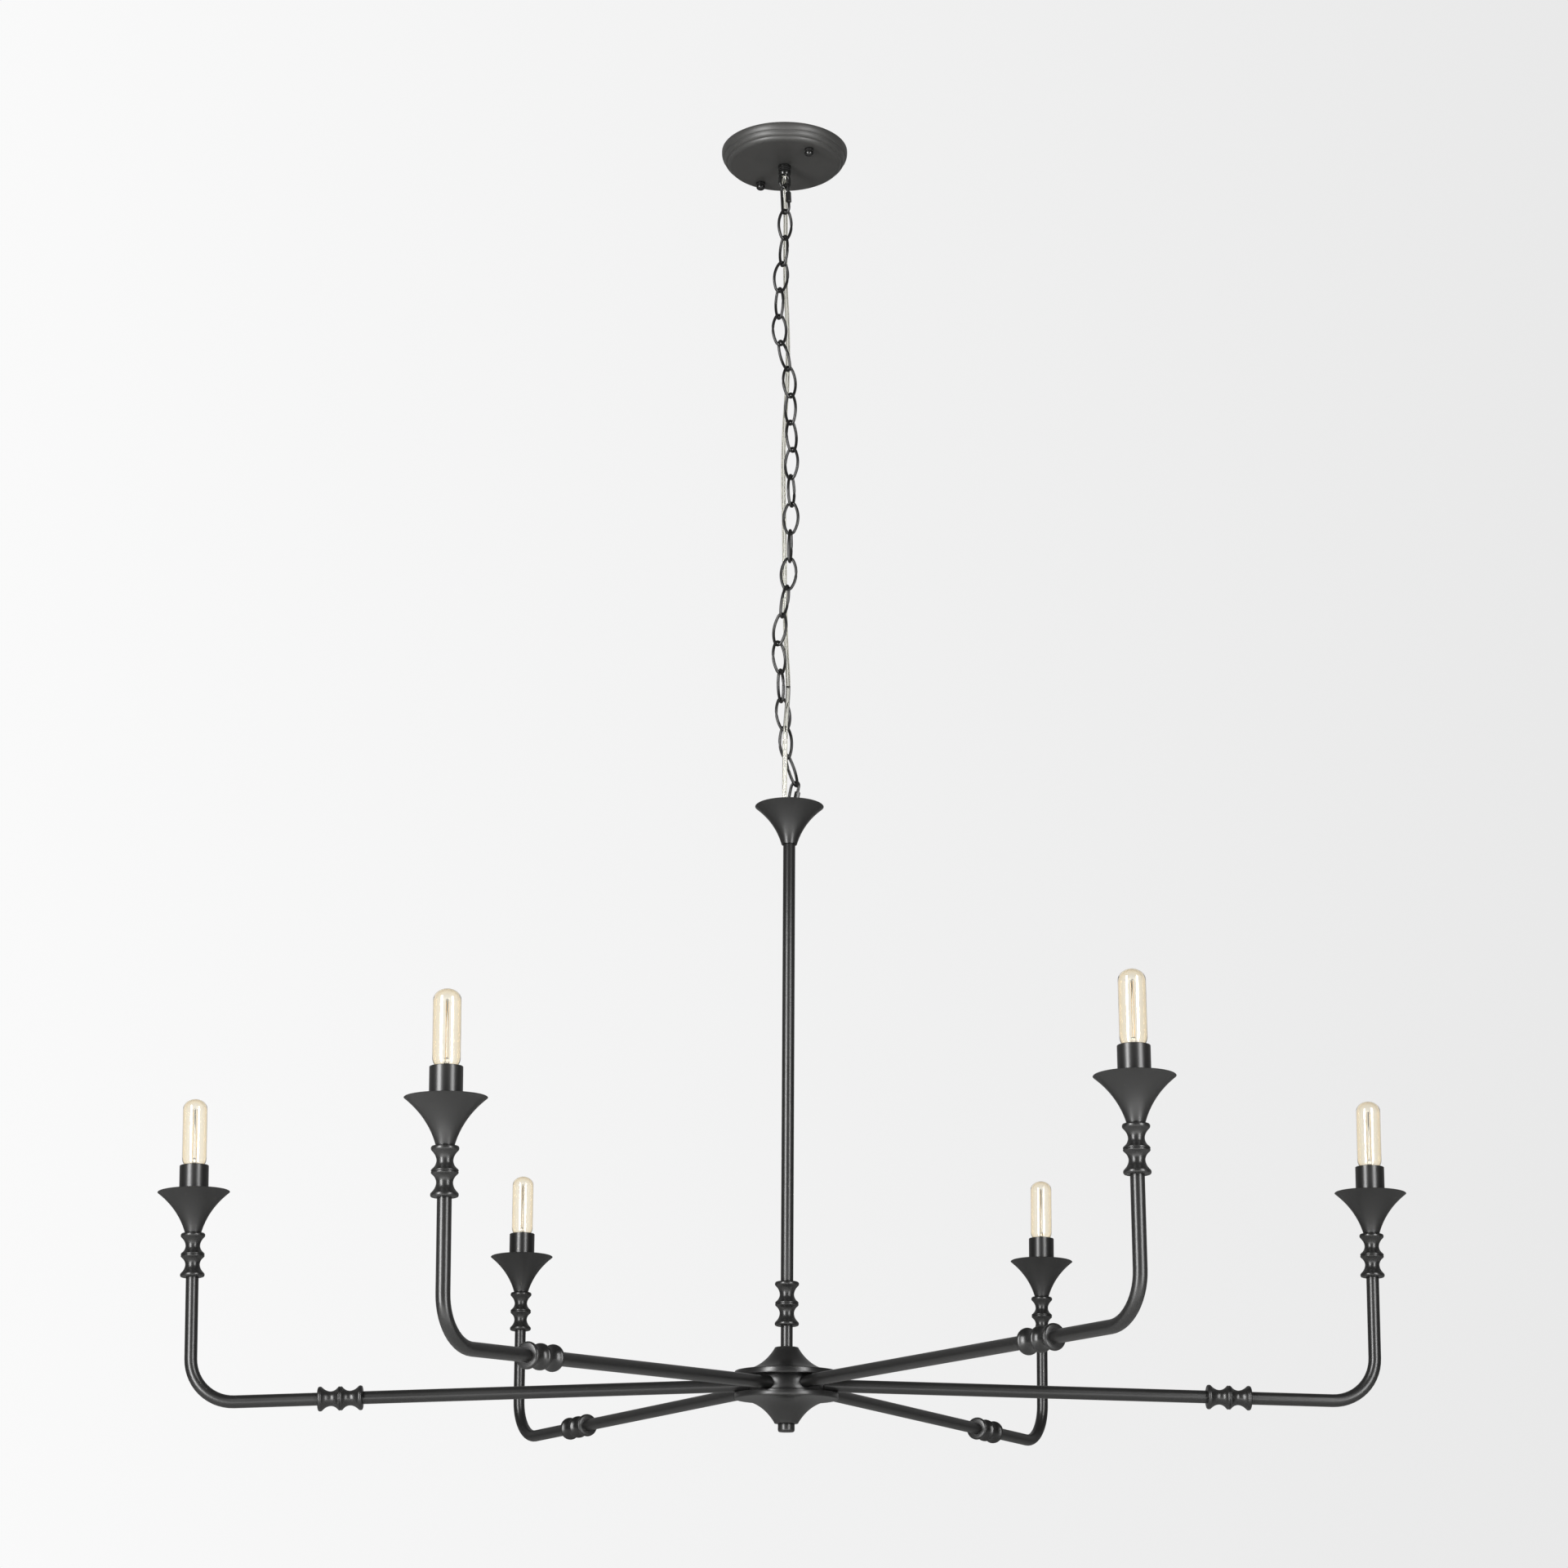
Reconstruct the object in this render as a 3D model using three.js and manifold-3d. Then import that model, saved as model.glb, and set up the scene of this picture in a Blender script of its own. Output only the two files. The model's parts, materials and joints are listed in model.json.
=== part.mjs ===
// Six-arm candle chandelier on a chain: ceiling canopy, chain of oval links between two quick
// links, stem with a turned knuckle, hub of two flared caps, and six elbowed arms with trumpet
// cups, socket sleeves and tubular bulbs. Millimetres, +Z up, origin on the ceiling at the
// middle of the canopy. The viewer's side is -Y, and +X is on the right.
import * as THREE from "three";
import { mergeVertices } from "three/addons/utils/BufferGeometryUtils.js";
import Module from "manifold-3d";

// Driving dimensions
const GAP = 0.3; // between pieces that touch
const CANOPY_R = 88.5;
const CANOPY_DISC_R = 74;
const CANOPY_H = 22;
const SHEET = 1.6; // canopy wall
const CROSSBAR = { length: 146, width: 20, thick: 2.5, azimuth: -56, screwR: 61 };
const EYE = { wireR: 2.2, halfWidth: 6.9, halfHeight: 10.4 }; // middle of the metal
const CANOPY_EYE_TURN = 24;
const STEM_EYE_TURN = 40;
const CANOPY_EYE_Z = -45.5;
const WIRE_R = 2; // chain and quick links
const LINK = { halfLength: 22.507, halfWidth: 10.25, play: 0.7 }; // middle of the wire
const QUICK = { halfLength: 22, halfWidth: 7, nutR: 4, nutLength: 15.5, cut: 8 };
const RIM_Z = -963.6; // rim of the stem cup
const CUP = { rimR: 45.5, footR: 10.2, height: 52, waistR: 18.8, waistDepth: 21.4, wall: 2 };
const STEM_R = 8;
const STEM_BORE_R = 6.2;
const LOWER_STEM_R = 7.6;
const KNUCKLE_TOP_Z = -1591.6;
const SPOOL = { length: 28, flangeR: 15.4, neckR: 9.2 };
const HUB_Z = -1721.5;
const ARM_RISE = 1.4; // foot of the arms above the middle of the hub
const HUB = { rimR: 65.4, topR: 15.5, gap: 20, band: 7.5, height: 30, coreR: 47 };
const FINIAL = { radius: 10.6, height: 10 };
const ARM = { tubeR: 8, radius: 746, elbowR: 55, footR: 47.3, knuckleAt: 531 };
const RISER_KNUCKLE_H = 157; // foot of the upright knuckle above the arm's middle line
const SLEEVE = { radius: 18.4, boreR: 16.2, top: 299, floor: 258 };
const BULB = { radius: 15.4, top: 384.6, baseR: 12.8, travel: 25 };
const LAMP_LEAN = 0.31; // degrees out of plumb, because the chain has not run straight
const STEM_TOP_X = 6.3;

// Azimuth in degrees from +X, and how far each arm droops from level
const ARMS = {
  left: { azimuth: 181.9, droop: 2.3 },
  front_left: { azimuth: 240.7, droop: 2.1 },
  front_right: { azimuth: 300.4, droop: -0.25 },
  right: { azimuth: 1.9, droop: 1.2 },
  back_right: { azimuth: 60, droop: 1.4 },
  back_left: { azimuth: 121.4, droop: 1.3 },
};

// Each link: how far its lower bend hangs to the right, how its plane is turned from XZ,
// and the play above it where that isn't LINK.play
const CHAIN = [
  [-0.5, 31], [-2, -59], [-8, 27], [-7, -60], [-7, 26], [6.2, -64, 1.1], [7.3, 34],
  [9, -47], [10, 48], [9, -34], [9, 66], [8, -17], [6.7, 80], [4, -4],
  [-4, 68], [-9, -36], [-6, 38], [-4, -70], [0, 28], [3.3, -40, 1.2], [15.5, 62, 1.3],
];

// The twin flat cord from the upper eye down beside the chain into the stem cup
const CORD = { halfWidth: 3.3, halfThick: 1.7, sides: 8, steps: 72 };
const CORD_ROUTE = [
  [0, 0, -1], [0, 0, -20], [0, 0.1, -34], [-0.3, 1.7, -40], [-1.4, 5.9, -46], [-1.8, 11, -55],
  [0.4, 14.6, -72], [1.4, 15.6, -100], [1, 15.8, -150], [1.4, 15.8, -200], [3.6, 15.8, -250],
  [4.6, 15.8, -300], [3.6, 15.8, -350], [0.6, 15.8, -400], [-1.4, 15.8, -450],
  [-1.6, 15.8, -500], [-0.8, 15.8, -550], [0, 15.8, -600], [0.2, 15.8, -650], [1, 15.4, -700],
  [2.4, 13, -740], [4.2, 8.5, -775], [4.6, 0, -800], [3.4, -9, -825], [1.6, -13.5, -850],
  [0.6, -15.6, -880], [0.2, -15.8, -915], [0, -14.6, -950], [1.5, -12.8, -975],
  [4.8, -11, -986], [6, -8.8, -994], [6.2, -4.8, -1000], [6.1, -1.6, -1005],
  [6.1, -0.3, -1011],
];

const BLACK = new THREE.MeshStandardMaterial({ color: 0x2b2a29, roughness: 0.45, metalness: 0.3 });
const GLOSS = new THREE.MeshStandardMaterial({ color: 0x1a1a1a, roughness: 0.2, metalness: 0.5 });
const ZINC = new THREE.MeshStandardMaterial({ color: 0x9a9c9e, roughness: 0.4, metalness: 0.9 });
const GLASS = new THREE.MeshStandardMaterial({ color: 0xf3e6c8, roughness: 0.05 });
const PVC = new THREE.MeshStandardMaterial({ color: 0xc9c9c4, roughness: 0.3 });

const wasm = await Module();
wasm.setup();

function solid(geometry) {
  const bare = geometry.clone();
  bare.deleteAttribute("normal");
  bare.deleteAttribute("uv");
  const merged = mergeVertices(bare, 1e-4);
  const index = merged.index.array;
  const corners = [];
  for (let i = 0; i < index.length; i += 3) {
    const [a, b, c] = index.slice(i, i + 3);
    if (a !== b && b !== c && c !== a) corners.push(a, b, c);
  }
  return new wasm.Manifold(
    new wasm.Mesh({
      numProp: 3,
      vertProperties: merged.attributes.position.array,
      triVerts: new Uint32Array(corners),
    }),
  );
}

function geometryOf(body) {
  const mesh = body.getMesh();
  const geometry = new THREE.BufferGeometry();
  geometry.setAttribute("position", new THREE.BufferAttribute(mesh.vertProperties, 3));
  geometry.setIndex(new THREE.BufferAttribute(mesh.triVerts, 1));
  geometry.computeVertexNormals();
  return geometry;
}

const joined = (...shapes) => geometryOf(shapes.map(solid).reduce((a, b) => a.add(b)));
const cutFrom = (shape, ...tools) =>
  geometryOf(tools.map(solid).reduce((a, b) => a.subtract(b), solid(shape)));

// A profile of [radius, height] pairs, from the foot up the outside, turned about Z
function turned(profile, sides) {
  const points = profile.map(([r, z]) => new THREE.Vector2(r, z));
  return new THREE.LatheGeometry(points, sides).rotateX(Math.PI / 2);
}

const rod = (radius, low, high, sides) =>
  turned([[0, low], [radius, low], [radius, high], [0, high]], sides);

function tube(outer, bore, low, high, sides) {
  return turned([[bore, low], [outer, low], [outer, high], [bore, high], [bore, low]], sides);
}

// A closed wire loop in the XZ plane. outline gives the middle of the wire and the way out.
function loop(outline, wireR, steps, sides, turn = 0) {
  const major = 50;
  const shape = new THREE.TorusGeometry(major, wireR, sides, steps);
  const at = shape.attributes.position;
  for (let i = 0; i < at.count; i++) {
    const angle = Math.atan2(at.getY(i), at.getX(i)) + turn;
    const out = Math.hypot(at.getX(i), at.getY(i)) - major;
    const { x, z, nx, nz } = outline(angle);
    at.setXYZ(i, x + nx * out, -at.getZ(i), z + nz * out);
  }
  return shape;
}

const oval = (halfWidth, halfHeight) => (angle) => {
  const nx = Math.cos(angle) * halfHeight;
  const nz = Math.sin(angle) * halfWidth;
  const size = Math.hypot(nx, nz);
  return {
    x: halfWidth * Math.cos(angle),
    z: halfHeight * Math.sin(angle),
    nx: nx / size,
    nz: nz / size,
  };
};

const straightSided = (halfWidth, halfHeight) => (angle) => ({
  x: halfWidth * Math.cos(angle),
  z: halfWidth * Math.sin(angle) + Math.sign(Math.sin(angle)) * (halfHeight - halfWidth),
  nx: Math.cos(angle),
  nz: Math.sin(angle),
});

// A path through exact points, with each section square to the bisector of its two stretches
class Route extends THREE.Curve {
  constructor(points) {
    super();
    this.points = points;
  }
  getPointAt(u) {
    return this.points[Math.round(u * (this.points.length - 1))].clone();
  }
  getTangentAt(u) {
    const i = Math.round(u * (this.points.length - 1));
    const sum = new THREE.Vector3();
    for (const j of [i - 1, i]) {
      const [from, to] = [this.points[j], this.points[j + 1]];
      if (from && to) sum.add(to.clone().sub(from).normalize());
    }
    return sum.normalize();
  }
}

function swept(path, steps, sides, halfWidth, halfThick = halfWidth) {
  const section = new THREE.Shape();
  for (let i = 0; i < sides; i++) {
    const angle = ((i + 0.5) / sides) * 2 * Math.PI;
    const at = [halfWidth * Math.cos(angle), halfThick * Math.sin(angle)];
    if (i) section.lineTo(...at);
    else section.moveTo(...at);
  }
  section.closePath();
  return new THREE.ExtrudeGeometry(section, { steps, extrudePath: path, bevelEnabled: false });
}

const chandelier = new THREE.Group();
function piece(name, geometry, material, parent = chandelier) {
  const mesh = new THREE.Mesh(geometry, material);
  mesh.name = name;
  parent.add(mesh);
  return mesh;
}

// Ceiling: crossbar with its two screws, canopy, cap nuts, screw collar and eye
const radians = THREE.MathUtils.degToRad;
const crossbar = new THREE.Group();
crossbar.rotation.z = radians(CROSSBAR.azimuth);
chandelier.add(crossbar);
const barMiddle = -CROSSBAR.thick / 2;
const bar = new THREE.BoxGeometry(CROSSBAR.length, CROSSBAR.width, CROSSBAR.thick);
bar.translate(0, 0, barMiddle);
const screws = [-1, 1].map((side) =>
  rod(2.4, -CANOPY_H - 7, barMiddle, 8).translate(side * CROSSBAR.screwR, 0, 0),
);
const wireWay = rod(6.6, -CROSSBAR.thick - 1, 1, 16);
const barWithScrews = joined(bar, ...screws);
piece("crossbar", cutFrom(barWithScrews, wireWay), ZINC, crossbar);

const canopySteps = [
  [CANOPY_DISC_R, 0], [76.5, 1.2], [80, 4.7], [81.6, 6.4], [85, 11.4], [86.8, 13.6],
  [CANOPY_R, 18.4], [CANOPY_R, CANOPY_H],
];
const canopyProfile = [
  [0, 0], ...canopySteps,
  ...canopySteps.slice(1).reverse().map(([r, z]) => [r - SHEET, Math.min(z + 0.9, CANOPY_H)]),
  [CANOPY_DISC_R - SHEET, SHEET], [0, SHEET],
].map(([r, z]) => [r, z - CANOPY_H]);
const canopyHoles = [rod(6.6, -CANOPY_H - 1, -CANOPY_H + 3, 16)];
for (const side of [-1, 1]) {
  const hole = rod(2.9, -CANOPY_H - 1, -CANOPY_H + 3, 8);
  hole.translate(side * CROSSBAR.screwR, 0, 0).rotateZ(radians(CROSSBAR.azimuth));
  canopyHoles.push(hole);
}
piece("canopy", cutFrom(turned(canopyProfile, 32), ...canopyHoles), BLACK);

const nutProfile = [
  [0, -11.5], [3.4, -10.6], [5.2, -8.4], [5.4, -6], [6.1, -5.2], [6.1, -GAP],
  [2.7, -GAP], [2.7, -7.4], [0, -7.4],
];
for (const [name, side] of [["back_left", -1], ["front_right", 1]]) {
  const nut = piece("canopy_nut_" + name, turned(nutProfile, 12), GLOSS, crossbar);
  nut.position.set(side * CROSSBAR.screwR, 0, -CANOPY_H);
}

const neckR = 6.2;
const boreR = 4.7;
piece(
  "canopy_collar",
  tube(9, neckR + GAP, -CANOPY_H - 9, -CANOPY_H - GAP, 18),
  GLOSS,
);

// A cast eye: an upright ring on a hollow threaded neck, bored for the cord
function eye(neckLow, neckHigh, ringZ, turn) {
  const outline = straightSided(EYE.halfWidth, EYE.halfHeight);
  const ring = loop(outline, EYE.wireR, 16, 8, Math.PI / 16);
  ring.rotateZ(radians(turn)).translate(0, 0, ringZ);
  const neck = rod(neckR, neckLow, neckHigh, 14);
  const bore = rod(boreR, neckLow < ringZ ? neckLow - 1 : ringZ, neckHigh + 1, 12);
  return { ring, neck, bore };
}
const upperEye = eye(CANOPY_EYE_Z + 8, -0.5, CANOPY_EYE_Z, CANOPY_EYE_TURN);
piece("canopy_eye", cutFrom(joined(upperEye.ring, upperEye.neck), upperEye.bore), GLOSS);

// Places a hanging loop so that its upper bend sits over the bend that carries it.
// carrier: { low, across } the carrying bend's middle and the way its wire runs there.
function hang(carrier, carrierR, half, across, targetX, play) {
  const side = across.clone();
  const rise = new THREE.Vector3().crossVectors(carrier.across, side).normalize();
  if (rise.z < 0) rise.negate();
  const top = carrier.low.clone().addScaledVector(rise, carrierR + WIRE_R + play);
  const lean = Math.asin((top.x - targetX) / (2 * half));
  const up = new THREE.Vector3(Math.sin(lean), 0, Math.cos(lean));
  side.addScaledVector(up, -side.dot(up)).normalize();
  const group = new THREE.Group();
  const back = new THREE.Vector3().crossVectors(up, side);
  group.matrix.makeBasis(side, back, up);
  group.matrix.setPosition(top.clone().addScaledVector(up, -half));
  group.matrixAutoUpdate = false;
  chandelier.add(group);
  return { group, low: top.clone().addScaledVector(up, -2 * half), across: side };
}

const flat = (degrees) =>
  new THREE.Vector3(Math.cos(radians(degrees)), Math.sin(radians(degrees)), 0);

// A quick link: a rod bent into a long eye, left open where its sleeve nut closes it
const quickRing = loop(
  straightSided(QUICK.halfWidth, QUICK.halfLength), WIRE_R, 16, 8, Math.PI / 16,
);
const opening = new THREE.BoxGeometry(6, 6, QUICK.cut).translate(QUICK.halfWidth, 0, 0);
const quickShape = cutFrom(quickRing, opening);
const nutShape = tube(
  QUICK.nutR, (WIRE_R + GAP) / Math.cos(Math.PI / 6), -QUICK.nutLength / 2, QUICK.nutLength / 2, 6,
).translate(QUICK.halfWidth, 0, 0);

function quickLink(name, carrier, carrierR, targetX, turn, play) {
  const hung = hang(carrier, carrierR, QUICK.halfLength, flat(turn), targetX, play);
  piece(name, quickShape, BLACK, hung.group);
  piece(name + "_nut", nutShape, BLACK, hung.group);
  return hung;
}

const upperBend = {
  low: new THREE.Vector3(0, 0, CANOPY_EYE_Z - EYE.halfHeight),
  across: flat(CANOPY_EYE_TURN),
};
let carrier = quickLink("quick_link_top", upperBend, EYE.wireR, 2, -50, GAP);

const linkShape = loop(oval(LINK.halfWidth, LINK.halfLength), WIRE_R, 16, 6);
CHAIN.forEach(([lowX, turn, play], i) => {
  carrier = hang(carrier, WIRE_R, LINK.halfLength, flat(turn), lowX, play ?? LINK.play);
  piece("chain_link_" + String(i + 1).padStart(2, "0"), linkShape, BLACK, carrier.group);
});
carrier = quickLink("quick_link_bottom", carrier, WIRE_R, STEM_TOP_X, -42, 1.2);

// The lamp hangs on the lower quick link
const lamp = new THREE.Group();
const stemEyeZ = carrier.low.z + WIRE_R + EYE.wireR + GAP - EYE.halfHeight;
lamp.position.set(carrier.low.x, carrier.low.y, carrier.low.z);
lamp.rotation.y = radians(LAMP_LEAN);
chandelier.add(lamp);
const local = (z) => z - carrier.low.z;

const cupFootZ = local(RIM_Z - CUP.height);
const lowerEye = eye(cupFootZ - 22, local(stemEyeZ) - 8, local(stemEyeZ), STEM_EYE_TURN);
const lowerBore = rod(boreR, cupFootZ - 23, cupFootZ + 12, 12);
const cordMouth = new THREE.BoxGeometry(boreR * 2, 12, 15.8).translate(0, -6, cupFootZ + 14.4);
piece(
  "stem_eye",
  cutFrom(joined(lowerEye.ring, lowerEye.neck), lowerBore, cordMouth),
  BLACK, lamp,
);

// Trumpet outline from the foot to the rim: a quadratic curve pulled in at the waist
function trumpet(footZ, inset, points) {
  const curve = new THREE.QuadraticBezierCurve(
    new THREE.Vector2(CUP.footR - inset, footZ),
    new THREE.Vector2(CUP.waistR - inset, footZ + CUP.height - CUP.waistDepth),
    new THREE.Vector2(CUP.rimR - inset, footZ + CUP.height),
  );
  return curve.getPoints(points).map(({ x, y }) => [x, y]);
}
const stemCupProfile = [
  [neckR + GAP, cupFootZ], ...trumpet(cupFootZ, 0, 7),
  ...trumpet(cupFootZ, CUP.wall, 6).slice(1).reverse(),
  [neckR + GAP, cupFootZ + 6], [neckR + GAP, cupFootZ],
];
piece("stem_cup", turned(stemCupProfile, 20), BLACK, lamp);

const knuckleTop = local(KNUCKLE_TOP_Z);
const knuckleFoot = knuckleTop - 2 * SPOOL.length;
const hubMiddle = local(HUB_Z);
const hubBand = hubMiddle + HUB.gap / 2;
piece("stem_tube", tube(STEM_R, neckR + GAP, knuckleTop + GAP, cupFootZ - GAP, 16), BLACK, lamp);

// Two turned spools end to end, as [radius, height] from the foot
const { flangeR, neckR: spoolNeckR, length: spoolLength } = SPOOL;
const halfKnuckle = [
  [flangeR - 1.8, 0], [flangeR, 1.8], [flangeR, 4.6], [10.4, 11.2], [spoolNeckR, 16],
  [10.6, 20.8], [flangeR - 0.3, 27],
];
const knuckleSide = [
  ...halfKnuckle,
  ...halfKnuckle.map(([r, z]) => [r, 2 * spoolLength - z]).reverse(),
];
function knuckle(foot, bore, sides) {
  const side = knuckleSide.map(([r, z]) => [r, foot + z]);
  const ends = [[bore, foot], [bore, foot + 2 * spoolLength]];
  return turned([ends[0], ...side, ends[1], ...(bore ? [ends[0]] : [])], sides);
}
piece("stem_knuckle", knuckle(knuckleFoot, LOWER_STEM_R + GAP, 16), BLACK, lamp);
piece(
  "stem_lower_tube",
  tube(LOWER_STEM_R, STEM_BORE_R - 0.4, hubBand + GAP, knuckleTop - GAP, 16),
  BLACK, lamp,
);

// Hub: flared cap, six-way core, flared cap upside down, finial nut
const hubCap = [
  ...new THREE.QuadraticBezierCurve(
    new THREE.Vector2(HUB.rimR, HUB.band),
    new THREE.Vector2(33, HUB.band + 0.5),
    new THREE.Vector2(HUB.topR, HUB.band + HUB.height - 1.5),
  ).getPoints(6).map(({ x, y }) => [x, y]),
  [HUB.topR - 2, HUB.band + HUB.height],
];
const hubBore = LOWER_STEM_R + GAP;
const capRim = [[HUB.rimR - 2, 0], [HUB.rimR, 1.5]];
const upperCap = [
  [hubBore, 0], ...capRim, ...hubCap, [hubBore, HUB.band + HUB.height], [hubBore, 0],
].map(([r, z]) => [r, z + hubBand]);
piece("hub_upper_cap", turned(upperCap, 28), BLACK, lamp);
const coreHalf = HUB.gap / 2 - GAP;
piece("hub_core", rod(HUB.coreR, hubMiddle - coreHalf, hubMiddle + coreHalf, 24), BLACK, lamp);
const lowerCap = [
  [0, 0], ...capRim, ...hubCap, [0, HUB.band + HUB.height],
].map(([r, z]) => [r, hubMiddle - HUB.gap / 2 - z]).reverse();
piece("hub_lower_cap", turned(lowerCap, 28), BLACK, lamp);
const finialTop = hubMiddle - HUB.gap / 2 - HUB.band - HUB.height - GAP;
piece("finial", rod(FINIAL.radius, finialTop - FINIAL.height, finialTop, 16), BLACK, lamp);

// One arm, drawn outward along X: tube with elbow, lying knuckle and standing knuckle
const armPoints = [new THREE.Vector3(ARM.footR, 0, 0)];
const elbowSteps = 6;
for (let i = 0; i <= elbowSteps; i++) {
  const angle = (i / elbowSteps) * (Math.PI / 2);
  const along = ARM.radius - ARM.elbowR * (1 - Math.sin(angle));
  armPoints.push(new THREE.Vector3(along, 0, ARM.elbowR * (1 - Math.cos(angle))));
}
const candleFoot = RISER_KNUCKLE_H + 2 * SPOOL.length;
armPoints.push(new THREE.Vector3(ARM.radius, 0, candleFoot - GAP));
const armTube = swept(new Route(armPoints), armPoints.length - 1, 10, ARM.tubeR);
const lyingKnuckle = knuckle(0, 0, 12).rotateY(Math.PI / 2).translate(ARM.knuckleAt, 0, 0);
const risingKnuckle = knuckle(0, 0, 12).scale(1, 1, 0.994)
  .translate(ARM.radius, 0, RISER_KNUCKLE_H);
const armShape = joined(armTube, lyingKnuckle, risingKnuckle);

const rimH = candleFoot + CUP.height;
const cupShape = turned(
  [
    [0, candleFoot], ...trumpet(candleFoot, 0, 5),
    ...trumpet(candleFoot, CUP.wall, 5).slice(3).reverse(),
    [SLEEVE.radius, rimH - 26.5], [SLEEVE.radius, SLEEVE.top], [SLEEVE.boreR, SLEEVE.top],
    [SLEEVE.boreR, SLEEVE.floor], [0, SLEEVE.floor],
  ],
  14,
);
const bulbShape = turned(
  [
    [0, SLEEVE.floor + 1], [4, SLEEVE.floor + 1.5], [BULB.baseR, SLEEVE.floor + 6],
    [BULB.baseR, SLEEVE.top - 8], [BULB.radius, SLEEVE.top + 5], [BULB.radius, BULB.top - 14],
    [12.2, BULB.top - 5.2], [6.6, BULB.top - 1.2], [0, BULB.top],
  ],
  12,
);
for (const [name, { azimuth, droop }] of Object.entries(ARMS)) {
  const arm = new THREE.Group();
  arm.position.z = hubMiddle + ARM_RISE;
  arm.rotation.set(0, radians(droop), radians(azimuth), "ZYX");
  lamp.add(arm);
  piece("arm_" + name, armShape, BLACK, arm);
  piece("candle_cup_" + name, cupShape, BLACK, arm).position.x = ARM.radius;
  piece("bulb_" + name, bulbShape, GLASS, arm).position.x = ARM.radius;
}

const cordCurve = new THREE.CatmullRomCurve3(CORD_ROUTE.map((at) => new THREE.Vector3(...at)));
const cordShape = swept(cordCurve, CORD.steps, CORD.sides, CORD.halfWidth, CORD.halfThick);
piece("supply_cord", cordShape, PVC);

export default chandelier;
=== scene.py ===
import json
import math

import bmesh
import bpy
from mathutils import Matrix, Vector


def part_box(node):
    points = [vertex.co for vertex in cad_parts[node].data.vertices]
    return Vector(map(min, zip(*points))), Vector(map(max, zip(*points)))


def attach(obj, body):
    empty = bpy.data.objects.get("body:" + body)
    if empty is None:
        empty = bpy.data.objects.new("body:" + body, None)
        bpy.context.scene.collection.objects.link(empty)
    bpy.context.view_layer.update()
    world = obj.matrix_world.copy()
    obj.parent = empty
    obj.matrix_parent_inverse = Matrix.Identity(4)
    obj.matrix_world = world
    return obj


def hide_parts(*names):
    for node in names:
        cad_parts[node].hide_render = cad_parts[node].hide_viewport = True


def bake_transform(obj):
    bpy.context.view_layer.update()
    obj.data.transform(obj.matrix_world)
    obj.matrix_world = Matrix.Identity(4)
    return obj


# Six-arm candle chandelier. Pieces are drawn in millimetres in their own frames, then set
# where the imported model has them, in metres, Z up and the ceiling at Z = 0.
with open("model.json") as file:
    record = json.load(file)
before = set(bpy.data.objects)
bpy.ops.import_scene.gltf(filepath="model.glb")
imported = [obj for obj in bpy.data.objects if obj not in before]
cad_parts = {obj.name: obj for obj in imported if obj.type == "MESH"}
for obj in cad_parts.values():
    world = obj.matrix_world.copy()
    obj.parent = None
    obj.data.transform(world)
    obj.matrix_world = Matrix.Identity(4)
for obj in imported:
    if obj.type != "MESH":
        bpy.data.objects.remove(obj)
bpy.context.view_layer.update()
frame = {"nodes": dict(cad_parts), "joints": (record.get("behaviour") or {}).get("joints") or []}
scene = bpy.context.scene
nodes = frame["nodes"]
joints = {joint["name"]: joint for joint in frame["joints"]}
mm = 0.001

# ---- camera, light and backdrop
viewer = {
    "place": (0, -4.026, -2.126),
    "pitch": 16.52,
    "yaw": 0.012,
    "roll": 0,
    "lens": 72.5,
}
cameraData = bpy.data.cameras.new("viewer")
cameraData.sensor_width = 36
cameraData.lens = viewer["lens"]
camera = bpy.data.objects.new("viewer", cameraData)
camera.location = viewer["place"]
camera.rotation_euler = [
    math.radians(angle) for angle in (90 + viewer["pitch"], viewer["roll"], viewer["yaw"])
]
scene.collection.objects.link(camera)
scene.camera = camera
scene.view_settings.view_transform = "Standard"

softBoxes = {
    "left": {"turn": -39, "width": 1.0, "height": 3.6, "power": 235},
    "right": {"turn": 38, "width": 1.0, "height": 3.6, "power": 150},
}
for name, softBox in softBoxes.items():
    light = bpy.data.lights.new("softBox_" + name, "AREA")
    light.shape = "RECTANGLE"
    light.size, light.size_y = softBox["width"], softBox["height"]
    light.energy = softBox["power"]
    lamp = bpy.data.objects.new("softBox_" + name, light)
    turn = math.radians(softBox["turn"])
    lamp.location = (3.4 * math.sin(turn), -3.4 * math.cos(turn), -1.2)
    lamp.rotation_euler = (math.radians(90), 0, turn)
    scene.collection.objects.link(lamp)

below = {"width": 2.6, "depth": 1.2, "power": 14, "place": (0, -1.6, -2.38)}
light = bpy.data.lights.new("softBox_below", "AREA")
light.shape = "RECTANGLE"
light.size, light.size_y = below["width"], below["depth"]
light.energy = below["power"]
lamp = bpy.data.objects.new("softBox_below", light)
lamp.location = below["place"]
lamp.rotation_euler = (math.radians(155), 0, 0)
scene.collection.objects.link(lamp)

room = {
    "seenLeft": 0.955, "seenRight": 0.815, "front": 0.04, "behind": 0.3, "floorZ": -2.45, "floorSize": 40,
}
world = bpy.data.worlds.new("paleRoom")
scene.world = world
world.use_nodes = True
sky = world.node_tree
sky.nodes.clear()
path = sky.nodes.new("ShaderNodeLightPath")
seen = sky.nodes.new("ShaderNodeMath")
seen.operation = "MAXIMUM"
around = sky.nodes.new("ShaderNodeTexCoord")
axes = sky.nodes.new("ShaderNodeSeparateXYZ")
# camera and transmission rays see the backdrop painted darker from left to right: painted shade across
# the backdrop
backdropShade = sky.nodes.new("ShaderNodeMapRange")
backdropShade.inputs["From Min"].default_value = -0.24
backdropShade.inputs["From Max"].default_value = 0.24
backdropShade.inputs["To Min"].default_value = room["seenLeft"]
backdropShade.inputs["To Max"].default_value = room["seenRight"]
strength = sky.nodes.new("ShaderNodeMapRange")
wrap = sky.nodes.new("ShaderNodeMapRange")
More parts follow.
